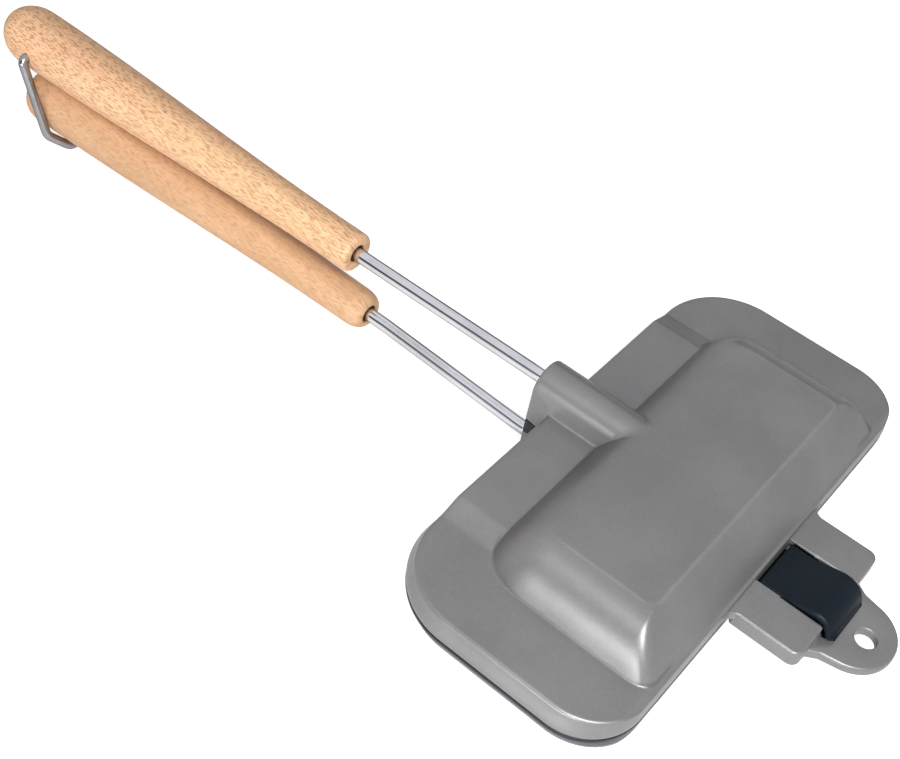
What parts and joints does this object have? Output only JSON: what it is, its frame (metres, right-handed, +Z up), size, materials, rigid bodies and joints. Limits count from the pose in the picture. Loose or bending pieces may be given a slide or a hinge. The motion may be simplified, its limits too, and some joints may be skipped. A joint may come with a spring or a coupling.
{
  "type": "pie iron",
  "caption": "Narrow hinged pie iron: grey cast pan halves with a black non-stick lining, steel rods, turned beech grips, a wire bail that locks them and a hanging tab at the hinge.",
  "frame": {"origin": "On the lower pan's flat base face, under the middle of the pan.", "axes": "+X points from the grips toward the hinge and the hanging tab, +Y along the pan's long side, +Z up out of the upper pan."},
  "size_m": [0.3262, 0.1504, 0.0414],
  "materials": {
    "cast_grey": "satin",
    "coat_black": "satin",
    "rod_steel": "polished",
    "beech": "oiled",
    "wire_steel": "drawn"
  },
  "bodies": {
    "lower_half": {"lower_pan": "coat_black", "lower_rod": "rod_steel", "lower_grip": "beech"},
    "upper_half": {"upper_pan": "cast_grey", "upper_rod": "rod_steel", "upper_grip": "beech"},
    "bail": {"locking_bail": "wire_steel"}
  },
  "joints": [
    {"name": "pan_hinge", "type": "hinge", "parent": "lower_half", "child": "upper_half", "pos_m": [0.05095, 0, 0.0156], "axis": [0, 1, 0], "range_deg": [0, 95]},
    {"name": "bail_swing", "type": "hinge", "parent": "upper_half", "child": "bail", "pos_m": [-0.23755, 0, 0.0278], "axis": [0, 1, 0], "range_deg": [0, 270]}
  ]
}
